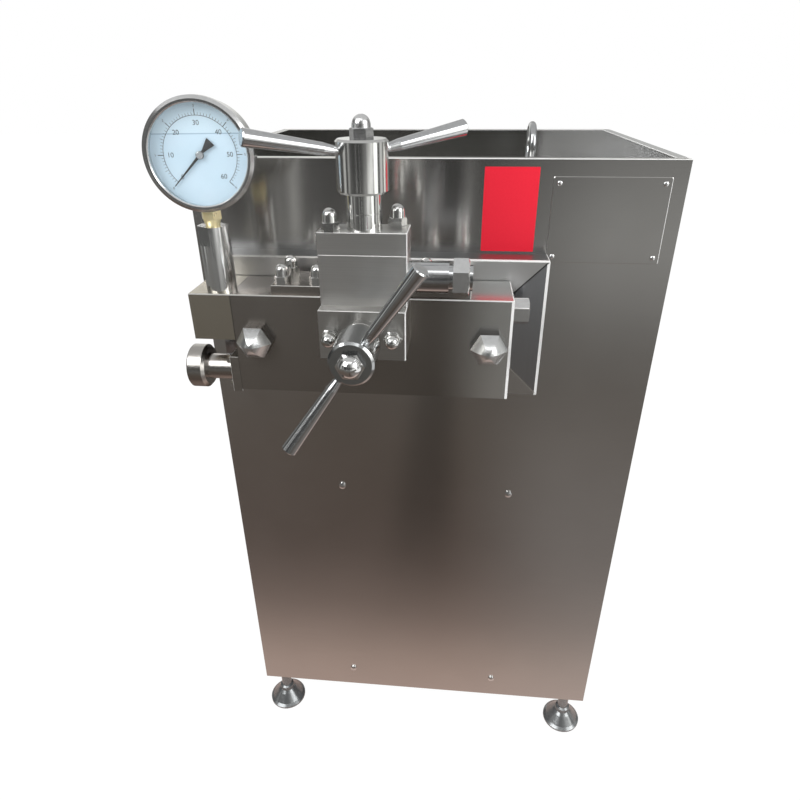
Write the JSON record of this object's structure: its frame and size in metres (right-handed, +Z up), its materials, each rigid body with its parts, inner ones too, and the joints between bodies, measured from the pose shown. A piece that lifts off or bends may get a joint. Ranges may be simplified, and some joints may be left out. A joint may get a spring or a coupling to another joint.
{
  "type": "dairy homogenizer",
  "caption": "Upright stainless dairy homogenizer with a plunger pump block, a two-stage screw-handled valve and a pressure gauge on the front of a cabinet on levelling feet.",
  "frame": {"origin": "on the floor under the middle of the whole box", "axes": "+X to the right seen from the front, +Y from the front panel to the back, +Z up"},
  "size_m": [0.53, 0.6299, 0.952],
  "materials": {
    "cabinet_steel": "satin stainless sheet",
    "block_steel": "satin machined stainless",
    "polished_steel": "polished stainless",
    "bright_steel": "bright turned stainless",
    "brass": "bare turned brass",
    "glass": "clear flat glass",
    "dial_paint": "matt white",
    "needle_paint": "matt black",
    "frame_paint": "grey primer",
    "case_paint": "painted casting",
    "motor_paint": "blue enamel",
    "pulley_iron": "bare grey iron",
    "belt_rubber": "moulded rubber",
    "gland_brass": "bronze"
  },
  "bodies": {
    "machine": {"base_plate": "frame_paint", "frame_posts": "frame_paint", "shelf_plate": "frame_paint", "front_panel": "cabinet_steel", "left_panel": "cabinet_steel", "right_panel": "cabinet_steel", "rear_panel": "cabinet_steel", "top_plate": "cabinet_steel", "lifting_eye": "polished_steel", "hood_frame": "cabinet_steel", "panel_screws": "bright_steel", "feet": "polished_steel", "foot_nuts": "bright_steel", "pump_block": "block_steel", "block_studs": "bright_steel", "block_nuts": "bright_steel", "end_plug": "bright_steel", "cover_plate": "block_steel", "cover_nuts": "bright_steel", "inlet_flange": "bright_steel", "inlet_union": "bright_steel", "inlet_bolts": "bright_steel", "gauge_stem": "polished_steel", "gauge_neck": "brass", "gauge_case": "bright_steel", "gauge_bezel": "polished_steel", "gauge_dial": "dial_paint", "gauge_glass": "glass", "first_body": "block_steel", "first_bonnet": "bright_steel", "second_body": "block_steel", "second_cap": "block_steel", "second_bonnet": "bright_steel", "valve_seats": "bright_steel", "valve_discs": "bright_steel", "valve_nuts": "bright_steel", "outlet_pipe": "bright_steel", "outlet_nut": "bright_steel", "crankcase": "case_paint", "plunger_glands": "gland_brass", "motor": "motor_paint", "drive_belts": "belt_rubber"},
    "first_rod": {"first_push_rod": "bright_steel", "first_spring": "bright_steel"},
    "first_handle": {"first_spindle": "bright_steel", "first_hub": "polished_steel", "first_arms": "polished_steel", "first_dome_nut": "polished_steel"},
    "second_rod": {"second_push_rod": "bright_steel", "second_spring": "bright_steel"},
    "second_handle": {"second_spindle": "bright_steel", "second_hub": "polished_steel", "second_arms": "polished_steel", "second_dome_nut": "polished_steel"},
    "needle": {"gauge_needle": "needle_paint"},
    "left_plunger": {"plunger_left": "bright_steel"},
    "middle_plunger": {"plunger_middle": "bright_steel"},
    "right_plunger": {"plunger_right": "bright_steel"},
    "crank": {"driven_pulley": "pulley_iron"},
    "rotor": {"motor_pulley": "pulley_iron"}
  },
  "joints": [
    {"name": "first_feed", "type": "slide", "parent": "machine", "child": "first_rod", "axis": [0, 1, 0], "range_m": [0, 0.006]},
    {"name": "first_turn", "type": "hinge", "parent": "first_rod", "child": "first_handle", "pos_m": [-0.052, -0.23701, 0.753], "axis": [0, 1, 0], "range_deg": [0, 1080]},
    {"name": "second_feed", "type": "slide", "parent": "machine", "child": "second_rod", "axis": [0, 0, -1], "range_m": [0, 0.006]},
    {"name": "second_turn", "type": "hinge", "parent": "second_rod", "child": "second_handle", "pos_m": [-0.052, -0.20201, 0.8435], "axis": [0, 0, -1], "range_deg": [0, 1080]},
    {"name": "needle_swing", "type": "hinge", "parent": "machine", "child": "needle", "pos_m": [-0.2075, -0.16701, 0.902], "axis": [-0.1392, 0.9903, 0], "range_deg": [0, 270], "stiffness_Nm_per_rad": 0.002, "springref_deg": -34.38},
    {"name": "left_stroke", "type": "slide", "parent": "machine", "child": "left_plunger", "axis": [0, -1, 0], "range_m": [-0.03, 0]},
    {"name": "middle_stroke", "type": "slide", "parent": "machine", "child": "middle_plunger", "axis": [0, -1, 0], "range_m": [-0.0075, 0.0225]},
    {"name": "right_stroke", "type": "slide", "parent": "machine", "child": "right_plunger", "axis": [0, -1, 0], "range_m": [-0.0075, 0.0225]},
    {"name": "crank_turn", "type": "hinge", "parent": "machine", "child": "crank", "pos_m": [0.168, 0.12199, 0.72], "axis": [1, 0, 0], "continuous": true},
    {"name": "motor_turn", "type": "hinge", "parent": "machine", "child": "rotor", "pos_m": [0.168, 0.12199, 0.196], "axis": [1, 0, 0], "continuous": true}
  ],
  "couplings": [
    {"joint": "first_feed", "follows": "first_turn", "m_per_rad": 0.00031831},
    {"joint": "second_feed", "follows": "second_turn", "m_per_rad": 0.00031831},
    {"joint": "motor_turn", "follows": "crank_turn", "ratio": 2.145}
  ]
}
